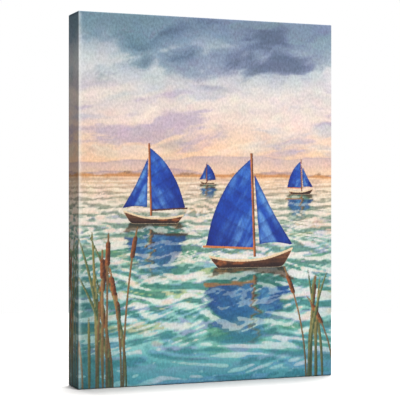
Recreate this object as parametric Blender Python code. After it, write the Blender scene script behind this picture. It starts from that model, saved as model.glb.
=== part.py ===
"""Stretched canvas print, ready to hang: one printed sheet of canvas wrapped round a mitred pine frame.

+X is the picture's right seen from the front, +Y points from the picture to the wall, +Z is up.
The origin is the middle of the footprint, on the surface that the bottom edge stands on.
Depths are counted from the front face of the canvas towards the wall.
"""

import math

import bmesh
import bpy
from mathutils import Matrix, Vector

# Driving sizes of the picture, in metres: a stock 12 by 16 inch print, 1 1/2 inch deep
WIDTH = 0.3048
HEIGHT = 0.4064
DEPTH = 0.0381

# The sheet of canvas, and the hairline left between touching pieces
CANVAS_THICK = 0.0006
GAP = 0.0003
FLAP = 0.024
FRONT_ROUND = 0.0012
BACK_ROUND = 0.001

# Stretcher bars: the frame fills the wrap, and a bead keeps the canvas off the bars' front
SKIN = CANVAS_THICK + GAP
FRAME_WIDTH = WIDTH - 2 * SKIN
FRAME_HEIGHT = HEIGHT - 2 * SKIN
BAR_DEPTH = DEPTH - 2 * SKIN
BAR_WIDE = 0.038
BEAD_WIDE = 0.006
BEAD_FALL_WIDE = 0.004
BEAD_FALL = 0.003
INNER_FALL = 0.005
BAR_CHAMFER = 0.0015

# Corner joints: two shoulders, with a tongue of each bar between them
SHOULDER = 0.0086
TONGUE_THICK = (BAR_DEPTH - 2 * SHOULDER) / 2
TONGUE_LAYER = {
    "across": SKIN + SHOULDER + TONGUE_THICK / 2,
    "upright": SKIN + SHOULDER + 1.5 * TONGUE_THICK,
}
CUT_MARGIN = 0.002

# Corner keys, the wedges that are tapped into the inner corners
KEY_LENGTH = 0.030
KEY_INSIDE = 0.012
KEY_TIP = 0.003
KEY_HEAD = 0.010
KEY_THICK = 0.0042
KEY_POCKET = KEY_TIP + (KEY_HEAD - KEY_TIP) * KEY_INSIDE / KEY_LENGTH + 2 * GAP
KEY_BEVEL = 0.0004

# Ring hangers, one on each upright bar: strap, ring and screw
HANGER_X = WIDTH / 2 - SKIN - 0.0305
HANGER_AXIS_Z = HEIGHT - 0.080
STRAP_THICK = 0.001
STRAP_HALF_WIDE = 0.0045
STRAP_DROP = 0.0225
STRAP_END_ANGLES = (80, 60, 40, 20, 0)
SCREW_DROP = 0.0165
SCREW_HOLE = 0.0017
RING_WIRE = 0.001
RING_HALF_WIDE = 0.0068
RING_LEG = 0.0028
RING_BEND = 0.0018
WIRE_SIDES = 10
CURL_INNER = RING_WIRE + GAP
CURL_STEPS = 14
STRAP_FACE = DEPTH - SKIN + GAP + STRAP_THICK
RING_AXIS = STRAP_FACE + CURL_INNER
OVERALL_DEPTH = RING_AXIS + CURL_INNER + STRAP_THICK

# Turned pieces, as pairs of radius and height from the seat outwards
TURNED_SIDES = 20
SCREW_PROFILE = [
    (0.0014, -0.0009),
    (0.0014, 0.0),
    (0.0029, 0.0),
    (0.0029, 0.0006),
    (0.0024, 0.0013),
    (0.0013, 0.0016),
]
BUMPER_HEIGHT = OVERALL_DEPTH - DEPTH - GAP
BUMPER_PROFILE = [
    (0.0055, 0.0),
    (0.0055, 0.0012),
    (0.0050, 0.0026),
    (0.0040, BUMPER_HEIGHT),
]
BUMPER_INSET = 0.0095

MIDDLE_Z = HEIGHT / 2


def at_depth(depth):
    """World y of a point so far behind the front face."""
    return depth - OVERALL_DEPTH / 2


def material(name, colour, roughness, metallic=0.0):
    """Plain finish of one stock."""
    made = bpy.data.materials.new(name)
    made.use_nodes = True
    shader = made.node_tree.nodes["Principled BSDF"]
    shader.inputs["Base Color"].default_value = (*colour, 1.0)
    shader.inputs["Roughness"].default_value = roughness
    shader.inputs["Metallic"].default_value = metallic
    return made


def add_object(name, data, finish=None, parent=None):
    """Links a mesh into the scene as one named piece."""
    made = bpy.data.objects.new(name, data)
    bpy.context.scene.collection.objects.link(made)
    if finish is not None:
        data.materials.append(finish)
    made.parent = parent
    return made


def skinned_mesh(name, *bodies, looped=False):
    """A mesh of closed bodies, each skinned over a row of like outlines, capped or joined end to end."""
    points, faces = [], []
    for rings in bodies:
        count = len(rings[0])
        first = len(points)
        points += [tuple(p) for ring in rings for p in ring]
        for row in range(len(rings) if looped else len(rings) - 1):
            here = first + row * count
            there = first + (row + 1) % len(rings) * count
            for i in range(count):
                after = (i + 1) % count
                faces.append((here + i, here + after, there + after, there + i))
        if not looped:
            last = len(points) - count
            faces += [tuple(range(first, first + count)), tuple(range(last, last + count))]
    made = bpy.data.meshes.new(name)
    made.from_pydata(points, [], faces)
    work = bmesh.new()
    work.from_mesh(made)
    bmesh.ops.recalc_face_normals(work, faces=work.faces)
    work.to_mesh(made)
    work.free()
    return made


def block(low, high):
    """The two outlines of a plain block between two corners."""
    corners = [(low[0], low[2]), (high[0], low[2]), (high[0], high[2]), (low[0], high[2])]
    return [[(x, y, z) for x, z in corners] for y in (low[1], high[1])]


def turned(profile):
    """Outlines of a turned body: radius and height pairs carried round the local +Y axis."""
    turns = [2 * math.pi * i / TURNED_SIDES for i in range(TURNED_SIDES)]
    return [
        [(radius * math.cos(a), height, radius * math.sin(a)) for a in turns]
        for radius, height in profile
    ]


def cut_by(target, name, data, parent, operation="DIFFERENCE"):
    """Cuts or joins a piece by a hidden guide body, which is returned."""
    guide = add_object(name, data, parent=parent)
    guide.hide_render = True
    guide.display_type = "WIRE"
    step = target.modifiers.new(name, "BOOLEAN")
    step.operation = operation
    step.solver = "EXACT"
    step.object = guide
    return guide


def smooth(data):
    """Round stretches shade smooth and true edges stay crisp."""
    data.shade_smooth()
    data.set_sharp_from_angle(angle=math.radians(35))


def canvas_mesh():
    """The wall of cloth: pairs of inset and depth, each carried round the picture's outline."""
    diagonal = 1 - math.sqrt(0.5)
    front_mid = FRONT_ROUND * diagonal
    back_mid = BACK_ROUND * diagonal
    inner_front = CANVAS_THICK + (FRONT_ROUND - CANVAS_THICK) * diagonal
    profile = [
        (FRONT_ROUND, 0.0),
        (front_mid, front_mid),
        (0.0, FRONT_ROUND),
        (0.0, DEPTH - BACK_ROUND),
        (back_mid, DEPTH - back_mid),
        (BACK_ROUND, DEPTH),
        (FLAP, DEPTH),
        (FLAP, DEPTH - CANVAS_THICK),
        (BACK_ROUND, DEPTH - CANVAS_THICK),
        (CANVAS_THICK, DEPTH - BACK_ROUND),
        (CANVAS_THICK, FRONT_ROUND),
        (inner_front, inner_front),
        (FRONT_ROUND, CANVAS_THICK),
    ]
    corners = [(-1, -1), (1, -1), (1, 1), (-1, 1)]
    rings = [
        [
            (x * (WIDTH / 2 - inset), at_depth(depth), MIDDLE_Z + z * (HEIGHT / 2 - inset))
            for x, z in corners
        ]
        for inset, depth in profile
    ]
    return skinned_mesh("canvas", rings)


def bar_mesh(name, length, reach):
    """A bar along X with mitred ends and its outer edge at +Z, so far from the frame's middle."""
    front = SKIN
    back = DEPTH - SKIN
    nose = FRONT_ROUND - CANVAS_THICK
    # distance in from the outer edge, depth
    section = [
        (0.0, front + nose),
        (nose * 0.3, front + nose * 0.3),
        (nose, front),
        (BEAD_WIDE, front),
        (BEAD_WIDE + BEAD_FALL_WIDE, front + BEAD_FALL),
        (BAR_WIDE - BAR_CHAMFER, front + INNER_FALL),
        (BAR_WIDE, front + INNER_FALL + BAR_CHAMFER),
        (BAR_WIDE, back - BAR_CHAMFER),
        (BAR_WIDE - BAR_CHAMFER, back),
        (BAR_CHAMFER, back),
        (0.0, back - BAR_CHAMFER),
    ]
    rings = [
        [
            (end * (length / 2 - inward - GAP / 2), at_depth(depth), reach - inward)
            for inward, depth in section
        ]
        for end in (-1, 1)
    ]
    return skinned_mesh(name, rings)


def end_blocks(length, reach, span_x, span_z, layer, thickness):
    """The same block at both ends of a bar, its spans counted from the outer corner inwards."""
    middle = at_depth(TONGUE_LAYER[layer])
    low_y, high_y = middle - thickness / 2, middle + thickness / 2
    near, far = length / 2 - span_x[0], length / 2 - span_x[1]
    low_z, high_z = reach - span_z[1], reach - span_z[0]
    return [
        block((far, low_y, low_z), (near, high_y, high_z)),
        block((-near, low_y, low_z), (-far, high_y, high_z)),
    ]


def stretcher_bar(name, kind, length, reach, turn, finish, parent):
    """A bar with a tongue, a slot for its neighbour's tongue and a key pocket at each end."""
    other = "upright" if kind == "across" else "across"
    bar = add_object(name, bar_mesh(name, length, reach), finish, parent)
    # what is shaped, its span along the bar, its span across it, layer, thickness, operation
    shapes = [
        (
            "tongue",
            (0.0, BAR_WIDE + CUT_MARGIN),
            (0.0, BAR_WIDE),
            kind,
            TONGUE_THICK - GAP,
            "UNION",
        ),
        (
            "slot",
            (-CUT_MARGIN, BAR_WIDE + GAP),
            (-CUT_MARGIN, BAR_WIDE + CUT_MARGIN),
            other,
            TONGUE_THICK + GAP,
            "DIFFERENCE",
        ),
        (
            "pocket",
            (BAR_WIDE, BAR_WIDE + KEY_POCKET),
            (BAR_WIDE - KEY_INSIDE - GAP, BAR_WIDE + CUT_MARGIN),
            other,
            KEY_THICK + 2 * GAP,
            "DIFFERENCE",
        ),
    ]
    for what, span_x, span_z, layer, thickness, operation in shapes:
        blocks = end_blocks(length, reach, span_x, span_z, layer, thickness)
        label = f"{name}_{what}"
        guide = cut_by(bar, label, skinned_mesh(label, *blocks), parent, operation)
        guide.rotation_euler = (0.0, turn, 0.0)
    bar.rotation_euler = (0.0, turn, 0.0)


def key_mesh():
    """A tapered wedge with its tip along local +X and its straight edge along local +Z."""
    outline = [
        (KEY_INSIDE, -GAP),
        (KEY_INSIDE, -GAP - KEY_TIP),
        (KEY_INSIDE - KEY_LENGTH, -GAP - KEY_HEAD),
        (KEY_INSIDE - KEY_LENGTH, -GAP),
    ]
    rings = [[(x, y, z) for x, z in outline] for y in (-KEY_THICK / 2, KEY_THICK / 2)]
    made = skinned_mesh("corner_key", rings)
    work = bmesh.new()
    work.from_mesh(made)
    bmesh.ops.bevel(work, geom=work.edges[:], offset=KEY_BEVEL, segments=1, affect="EDGES")
    work.to_mesh(made)
    work.free()
    return made


def place_key(name, data, side_x, side_z, kind, parent):
    """Sets a key in its corner, lying along the bar of its kind, its tip inside the other bar."""
    along_x = Vector((side_x, 0, 0))
    along_z = Vector((0, 0, side_z))
    tip, edge = (along_x, along_z) if kind == "across" else (along_z, along_x)
    turn = Matrix((tip, edge.cross(tip), edge)).transposed().to_4x4()
    corner = (
        side_x * (FRAME_WIDTH / 2 - BAR_WIDE),
        at_depth(TONGUE_LAYER[kind]),
        side_z * (FRAME_HEIGHT / 2 - BAR_WIDE),
    )
    key = add_object(name, data, parent=parent)
    key.matrix_local = Matrix.Translation(corner) @ turn


def strap_mesh(name):
    """A flat strip with a rounded foot, its head curled three quarters round the ring's axis."""
    half = STRAP_HALF_WIDE
    # half width, then depth and height on the strap's seat side and on its outer side
    rows = []
    for degrees in STRAP_END_ANGLES:
        a = math.radians(degrees)
        z = half - STRAP_DROP - half * math.sin(a)
        rows.append((half * math.cos(a), -STRAP_THICK, z, 0.0, z))
    outer = CURL_INNER + STRAP_THICK
    for step in range(CURL_STEPS + 1):
        a = math.radians(-90 + 270 * step / CURL_STEPS)
        s, c = math.sin(a), math.cos(a)
        rows.append(
            (half, CURL_INNER + outer * s, outer * c, CURL_INNER + CURL_INNER * s, CURL_INNER * c)
        )
    rings = [
        [(-h, y0, z0), (h, y0, z0), (h, y1, z1), (-h, y1, z1)] for h, y0, z0, y1, z1 in rows
    ]
    return skinned_mesh(name, rings)


def ring_mesh(name):
    """Round wire along a closed path: a straight top, two bends, two legs and a half circle."""
    shoulder = RING_HALF_WIDE - RING_BEND
    # centre across, centre up, radius, first angle, last angle, steps
    arcs = [
        (shoulder, -RING_BEND, RING_BEND, 90, 0, 4),
        (0.0, -RING_LEG, RING_HALF_WIDE, 0, -180, 12),
        (-shoulder, -RING_BEND, RING_BEND, 180, 90, 4),
    ]
    turns = [2 * math.pi * i / WIRE_SIDES for i in range(WIRE_SIDES)]
    rings = []
    for across, up, radius, first, last, steps in arcs:
        for step in range(steps + 1):
            a = math.radians(first + (last - first) * step / steps)
            out = Vector((math.cos(a), 0, math.sin(a)))
            centre = Vector((across, 0, up)) + radius * out
            rings.append(
                [
                    centre + RING_WIRE * (math.cos(t) * out + math.sin(t) * Vector((0, 1, 0)))
                    for t in turns
                ]
            )
    return skinned_mesh(name, rings, looped=True)


def hanger(side_word, x, finish):
    """A strap, the ring that its curl holds, and the screw through its hole."""
    seat = Vector((x, at_depth(STRAP_FACE), HANGER_AXIS_Z))
    name = f"hanger_strap_{side_word}"
    strap = add_object(name, strap_mesh(name), finish)
    strap.location = seat
    hole = skinned_mesh(f"{name}_hole", turned([(SCREW_HOLE, -CUT_MARGIN), (SCREW_HOLE, CUT_MARGIN)]))
    cut_by(strap, f"{name}_hole", hole, None).location = seat - Vector((0, 0, SCREW_DROP))
    ring = add_object(f"hanger_ring_{side_word}", ring_mesh(f"hanger_ring_{side_word}"), finish)
    ring.location = (x, at_depth(RING_AXIS), HANGER_AXIS_Z)
    screw = add_object(
        f"hanger_screw_{side_word}", skinned_mesh("hanger_screw", turned(SCREW_PROFILE)), finish
    )
    screw.location = seat + Vector((0, GAP, -SCREW_DROP))
    for piece in (strap, ring, screw):
        smooth(piece.data)


def build():
    """Makes the whole picture, piece by piece."""
    for old in list(bpy.data.objects):
        bpy.data.objects.remove(old, do_unlink=True)

    printed = material("printed_canvas", (0.30, 0.45, 0.48), 0.7)
    pine = material("pine", (0.72, 0.55, 0.36), 0.6)
    key_wood = material("key_wood", (0.60, 0.42, 0.26), 0.65)
    zinc = material("zinc_steel", (0.62, 0.62, 0.60), 0.35, 1.0)
    rubber = material("bumper_rubber", (0.05, 0.05, 0.05), 0.8)

    add_object("canvas", canvas_mesh(), printed)

    frame = bpy.data.objects.new("stretcher_frame", None)
    bpy.context.scene.collection.objects.link(frame)
    frame.location = (0.0, 0.0, MIDDLE_Z)
    # side, kind, length along the bar, reach from the frame's middle, quarter turns about +Y
    sides = [
        ("top", "across", FRAME_WIDTH, FRAME_HEIGHT / 2, 0),
        ("right", "upright", FRAME_HEIGHT, FRAME_WIDTH / 2, 1),
        ("bottom", "across", FRAME_WIDTH, FRAME_HEIGHT / 2, 2),
        ("left", "upright", FRAME_HEIGHT, FRAME_WIDTH / 2, 3),
    ]
    for side, kind, length, reach, quarters in sides:
        turn = quarters * math.pi / 2
        stretcher_bar(f"stretcher_bar_{side}", kind, length, reach, turn, pine, frame)

    key_data = key_mesh()
    key_data.materials.append(key_wood)
    for side_z, height_word in ((1, "top"), (-1, "bottom")):
        for side_x, side_word in ((-1, "left"), (1, "right")):
            for kind in ("across", "upright"):
                name = f"key_{height_word}_{side_word}_{kind}"
                place_key(name, key_data, side_x, side_z, kind, frame)

    for side_x, side_word in ((-1, "left"), (1, "right")):
        hanger(side_word, side_x * HANGER_X, zinc)
        name = f"bumper_{side_word}"
        bumper = add_object(name, skinned_mesh(name, turned(BUMPER_PROFILE)), rubber)
        bumper.location = (side_x * (WIDTH / 2 - BUMPER_INSET), at_depth(DEPTH + GAP), BUMPER_INSET)
        smooth(bumper.data)


build()
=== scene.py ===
import bmesh
import bpy
import numpy as np
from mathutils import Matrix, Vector
from numpy import array, clip, concatenate, cos, hypot, linspace, maximum, minimum, pi, radians, sin, where


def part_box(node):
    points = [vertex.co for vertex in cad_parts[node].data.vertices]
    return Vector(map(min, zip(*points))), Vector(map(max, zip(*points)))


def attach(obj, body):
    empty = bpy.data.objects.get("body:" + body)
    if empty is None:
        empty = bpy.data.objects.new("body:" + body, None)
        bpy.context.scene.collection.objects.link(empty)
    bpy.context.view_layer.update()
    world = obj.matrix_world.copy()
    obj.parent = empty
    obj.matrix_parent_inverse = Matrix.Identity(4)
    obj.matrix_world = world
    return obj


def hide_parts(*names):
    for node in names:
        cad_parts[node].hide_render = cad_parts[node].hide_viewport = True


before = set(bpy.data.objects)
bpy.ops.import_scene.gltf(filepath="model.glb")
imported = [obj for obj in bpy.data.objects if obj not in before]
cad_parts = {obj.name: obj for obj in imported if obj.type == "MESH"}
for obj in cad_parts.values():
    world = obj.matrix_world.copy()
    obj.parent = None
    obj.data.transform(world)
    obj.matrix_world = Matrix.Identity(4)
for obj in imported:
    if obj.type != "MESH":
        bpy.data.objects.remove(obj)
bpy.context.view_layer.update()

# The camera stands level with the picture's middle and a little to its left, with a long lens. Its
# place is counted in heights of the picture.
canvas_low, canvas_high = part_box("canvas")
WIDTH = canvas_high.x - canvas_low.x
HEIGHT = canvas_high.z - canvas_low.z
CAMERA_TURN = radians(22.11)
CAMERA_UP, CAMERA_LEFT, CAMERA_BACK = 0.5003, 0.0276, 3.532
SENSOR, FOCAL_PIXELS, FRAME_PIXELS = 36, 1288, 400
ahead = Vector((sin(CAMERA_TURN), cos(CAMERA_TURN), 0))
aside = Vector((cos(CAMERA_TURN), -sin(CAMERA_TURN), 0))
camera_data = bpy.data.cameras.new("camera")
camera_data.sensor_width = SENSOR
camera_data.lens = SENSOR * FOCAL_PIXELS / FRAME_PIXELS
camera = bpy.data.objects.new("camera", camera_data)
face_middle = Vector((0, canvas_low.y, CAMERA_UP * HEIGHT))
camera.location = face_middle - CAMERA_LEFT * HEIGHT * aside - CAMERA_BACK * HEIGHT * ahead
camera.rotation_euler = (pi / 2, 0, -CAMERA_TURN)
bpy.context.scene.collection.objects.link(camera)
bpy.context.scene.camera = camera


# The studio is a round white table top under a white sky. Both show white, but throw less light on the
# object than they show. A soft key lamp in front and to the right leaves the left side in shade, and a
# steep lamp overhead whitens the table all but a short shadow in front of the picture.
TABLE_RADIUS = 0.9
TABLE_THROWN, TABLE_SHOWN = (0.35, 0.34, 0.33, 1), (0.739, 0.727, 0.719, 1)
SKY_THROWN, SKY_SHOWN = 0.265, 1.0


def add_node(tree, kind, sockets=(), **settings):
    """A node with its settings, each listed input set to a value or joined to another node's output."""
    made = tree.nodes.new("ShaderNode" + kind)
    for name, value in settings.items():
        setattr(made, name, value)
    for name, value in dict(sockets).items():
        if isinstance(value, bpy.types.NodeSocket):
            tree.links.new(value, made.inputs[name])
        else:
            made.inputs[name].default_value = value
    return made


def joined(kind, sockets, **settings):
    """A node in the same tree as the outputs that it is joined to."""
    tree = next(value.id_data for value in sockets.values() if isinstance(value, bpy.types.NodeSocket))
    return add_node(tree, kind, sockets, **settings)


def mixed(amount, under, above, kind="MIX"):
    """One colour over another."""
    return joined("Mix", {0: amount, 6: under, 7: above}, data_type="RGBA", blend_type=kind).outputs[2]


def range_of(value, low, high, to_low=0.0, to_high=1.0, kind="LINEAR"):
    """A value brought from one range to another."""
    sockets = {"Value": value, "From Min": low, "From Max": high, "To Min": to_low, "To Max": to_high}
    return joined("MapRange", sockets, interpolation_type=kind).outputs[0]


def finish_of(name, roughness, metallic=0.0, specular=0.5):
    """An empty material: its node tree and its Principled shader, with the plain values set on it."""
    made = bpy.data.materials.new(name)
    made.use_nodes = True
    shader = made.node_tree.nodes["Principled BSDF"]
    shader.inputs["Roughness"].default_value = roughness
    shader.inputs["Metallic"].default_value = metallic
    shader.inputs["Specular IOR Level"].default_value = specular
    return made, made.node_tree, shader


def add_piece(mesh, *finishes):
    """Links a finished mesh into the scene with its materials, under the mesh's name."""
    made = bpy.data.objects.new(mesh.name, mesh)
    bpy.context.scene.collection.objects.link(made)
    for finish in finishes:
        mesh.materials.append(finish)
    return made


def abreast(*columns):
    """Columns side by side, a single value repeated all the way down its column."""
    return np.stack(np.broadcast_arrays(*columns), -1)


bpy.context.scene.view_settings.view_transform = "Standard"
table_finish, tree, shader = finish_of("table_white", 1.0, specular=0.0)
seen = add_node(tree, "LightPath").outputs["Is Camera Ray"]
tree.links.new(mixed(seen, TABLE_THROWN, TABLE_SHOWN), shader.inputs["Base Color"])
turns = linspace(0, 2 * pi, 96, endpoint=False)
table_rim = TABLE_RADIUS * abreast(cos(turns), sin(turns), 0)
table_mesh = bpy.data.meshes.new("table")
table_mesh.from_pydata(table_rim.tolist(), [], [list(range(len(table_rim)))])
add_piece(table_mesh, table_finish)

sky = bpy.data.worlds.new("studio_sky")
sky.use_nodes = True
background = sky.node_tree.nodes["Background"]
background.inputs["Color"].default_value = (1, 1, 1, 1)
seen = add_node(sky.node_tree, "LightPath").outputs["Is Camera Ray"]
sky.node_tree.links.new(range_of(seen, 0, 1, SKY_THROWN, SKY_SHOWN), background.inputs["Strength"])
bpy.context.scene.world = sky

# name, kind, degrees to the right of the front, degrees up, metres away, settings
for name, kind, azimuth, elevation, away, settings in (
    ("key_lamp", "AREA", 22, 30, 2.2, {"energy": 53, "shape": "DISK", "size": 1.2}),
    ("overhead_lamp", "SUN", 150, 81, 3.0, {"energy": 4.4, "angle": 0.25}),
):
    a, e = radians(azimuth), radians(elevation)
    way = Vector((sin(a) * cos(e), -cos(a) * cos(e), sin(e)))
    lamp_data = bpy.data.lights.new(name, kind)
    for setting, value in settings.items():
        setattr(lamp_data, setting, value)
    lamp = bpy.data.objects.new(name, lamp_data)
    lamp.location = Vector((0, 0, HEIGHT / 2)) + away * way
    lamp.rotation_euler = way.to_track_quat("Z", "Y").to_euler()
    bpy.context.scene.collection.objects.link(lamp)


# The picture is a watercolour of a lake at dusk, printed on the cloth. It is worked out as colours from
# 0 to 255 over the flat sheet: x and y are millimetres from its top left corner, with y downwards. A
# paint is a colour and a depth, which is how far inside the paint's edge a place lies.
PICTURE_WIDE, PICTURE_HIGH = 1000 * WIDTH, 1000 * HEIGHT
HORIZON = 178.0
OUTSIDE = -1e3
LAYERS, CELLS = 8, 256
lattice = np.random.default_rng(12).random((LAYERS, CELLS, CELLS))


def noise(u, v, layer):
    """Random values on a square lattice, eased between each point's four neighbours, from -1 to 1."""
    i, j = np.floor(u).astype(int), np.floor(v).astype(int)
    s, t = (f * f * f * (f * (f * 6 - 15) + 10) for f in (u - i, v - j))
    g = lattice[layer % LAYERS]
    near, far = (g[i % CELLS, k % CELLS] * (1 - s) + g[(i + 1) % CELLS, k % CELLS] * s for k in (j, j + 1))
    return 2 * (near * (1 - t) + far * t) - 1


def cloudy(u, v, layer, octaves=4, gain=0.5):
    """A sum of noises, each twice as fine as the last, turned by 34 degrees, and weaker by the gain."""
    total, weight, sum_weight = 0.0, 1.0, 0.0
    for i in range(octaves):
        total = total + weight * noise(u + 17.3 * i, v - 9.1 * i, layer + i)
        sum_weight += weight
        weight *= gain
        u, v = 1.675 * u - 1.146 * v, 1.146 * u + 1.675 * v
    return total / sum_weight


def ease(start, end, value):
    """0 before start and 1 after end, with a smooth rise between them."""
    t = clip((value - start) / (end - start), 0, 1)
    return t * t * (3 - 2 * t)


def between(value, start, full, fading, end):
    """A smooth rise from 0 at start to 1 at full, and a smooth fall from fading back to 0 at end."""
    return ease(start, full, value) * (1 - ease(fading, end, value))


def bell(value, middle, width):
    """1 at the middle, and falling away with the square of the distance, counted in widths."""
    return np.exp(-(((value - middle) / width) ** 2))


def over(under, colour, amount):
    """One colour laid over another by an amount from 0 to 1."""
    under, colour = np.asarray(under, float), np.asarray(colour, float)
    return under + (colour - under) * np.asarray(amount)[..., None]


def in_front(paint, other):
    """Of two paints, the one that lies deeper inside its edge at each place."""
    (colour, depth), (other_colour, other_depth) = paint, other
    return where((depth > other_depth)[..., None], colour, other_colour), maximum(depth, other_depth)


def wash(place, *stops):
    """Colours between stops, each a place and a red, green and blue."""
    stops = array(stops, float)
    return abreast(*(np.interp(place, stops[:, 0], stops[:, i]) for i in (1, 2, 3)))


def dusk_sky(x, y):
    """A slate to cream wash, blotted with cloud banks where noise, bent by other noise, passes a level
    that rises downwards, and below them with lilac wisps."""
    t = y / HORIZON
    c = wash(
        t + 0.05 * cloudy(x / 70, y / 40, 1, 3),
        (0.00, 114, 138, 154),
        (0.18, 136, 159, 176),
        (0.36, 196, 202, 208),
        (0.48, 224, 214, 210),
        (0.66, 238, 216, 204),
        (0.84, 248, 208, 176),
        (1.00, 252, 202, 158),
    )
    u = x + 22 * cloudy(x / 60, y / 45, 2)
    v = y + 0.16 * x + 14 * cloudy(x / 55 + 5, y / 30, 3)
    bank = cloudy(u / 78, (v + 9) / 30, 4, 5, 0.55)
    veil = cloudy(u / 120 + 3, v / 40 + 7, 5)
    wisp = cloudy(u / 60 + 9, v / 11, 6, 5, 0.55)
    across = ease(60, 230, x + 60 * veil)
    high = 1 - ease(0.27, 0.54, t)
    low = between(t, 0.34, 0.56, 0.80, 0.95)
    depth = bank + 0.40 * high - 0.35
    gap = ease(0.10, 0.42, 0.12 * noise(x / 9, y / 5, 6) - bank) * between(t, 0.05, 0.3, 0.4, 0.8)
    haze = over((104, 138, 154), (122, 132, 170), across)
    cloud = over((86, 118, 138), (100, 110, 146), across)
    c = over(c, haze, 0.62 * ease(-0.15, 0.42, veil + 0.42 - 1.25 * t))
    c = over(c, cloud, 0.66 * ease(-0.02, 0.30, depth) * high)
    c = over(c, (116, 118, 146), 0.35 * bell(depth, 0, 0.022) * high)
    c = over(c, (74, 90, 116), 0.55 * ease(0.20, 0.50, depth) * high)
    c = over(c, (232, 228, 226), 0.55 * gap)
    c = over(c, (164, 186, 212), 0.42 * ease(0.05, 0.5, cloudy(u / 75 + 13, v / 19 + 4, 7)) * low)
    c = over(c, (176, 162, 192), 0.60 * ease(0.00, 0.46, wisp) * low)
    return over(c, (250, 234, 216), 0.45 * ease(0.10, 0.42, -wisp) * low)


def far_shore(c, x, y):
    """Hills and a strip of shore: each fills the space under a skyline of noise along x."""
    up = HORIZON - y
    # height, rise, length of the swells, noise layer, first and last x, top colour, foot colour
    for height, rise, swell, layer, first, last, top, foot in (
        (17, 13, 85, 1, -60, 390, (204, 180, 182), (240, 204, 176)),
        (8, 11, 62, 3, -60, 190, (182, 156, 160), (230, 182, 150)),
        (10, 10, 70, 5, 178, 420, (168, 142, 148), (222, 170, 138)),
    ):
        skyline = height + rise * cloudy(x / swell, 0 * x + layer, layer, 4, 0.42)
        skyline = skyline * between(x, first, first + 60, last - 60, last)
        inside = ease(-0.8, 0.8, skyline - up) * (up > -3)
        tone = over(foot, top, ease(0, 0.9, up / maximum(skyline, 1)))
        c = over(c, tone, 0.85 * inside * (0.8 + 0.2 * cloudy(x / 14, y / 9, layer, 3)))
        c = over(c, (132, 116, 140), 0.25 * inside * bell(skyline, up, 1.2))
    shore = 3.2 + 2.6 * cloudy(x / 24, 0 * x + 2, 7, 3)
    wooded = between(x, 20, 60, 120, 150) + ease(215, 250, x)
    bushes = shore + clip(7.5 * cloudy(x / 11, 0 * x + 5, 2), 0, 9) * wooded
    in_bushes = ease(-0.7, 0.7, bushes - up) * (up > -2)
    c = over(c, (158, 118, 88), 0.80 * in_bushes)
    c = over(c, (104, 84, 80), 0.55 * ease(0.15, 0.45, cloudy(x / 5, y / 3, 3, 3)) * in_bushes)
    return over(c, (214, 150, 96), 0.85 * ease(-0.6, 0.6, shore - up) * (up > -2))


# The water's ripples are sine waves: how fast each goes across and down, its phase and its strength.
SLOWEST = 34
ripple_random = np.random.default_rng(21)
ripples = []
for _ in range(30):
    down = SLOWEST * 5.0 ** ripple_random.random()
    across = 0.26 * down * ripple_random.normal()
    ripples.append((across, down, 2 * pi * ripple_random.random(), (SLOWEST / down) ** 0.75))


def ripple_height(x, y, first, last):
    """A sum of sine waves over the water. Across is counted in heights below the shore line and down in
    their logarithm, so the waves grow as they come near, and both are swayed by slower sines."""
    near = maximum(y - HORIZON, 0) + 20
    u = (x - PICTURE_WIDE / 2) / near
    s = np.log(near)
    u = u + 0.16 * sin(11 * s + 1.3 * sin(3.1 * u + first)) + 0.05 * sin(31 * s + 2 * u)
    s = s + 0.016 * sin(5.3 * u + 9 * s + first) + 0.006 * sin(17 * u - 6 * s)
    total, power = 0.0, 0.0
    for across, down, phase, strength in ripples[first:last]:
        share = strength * ease(2.2, 5.5, 2 * pi * near / down)
        total = total + share * sin(across * u + down * s + phase)
        power = power + share * share
    return total / np.sqrt(power / 2 + 1e-6)


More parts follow.
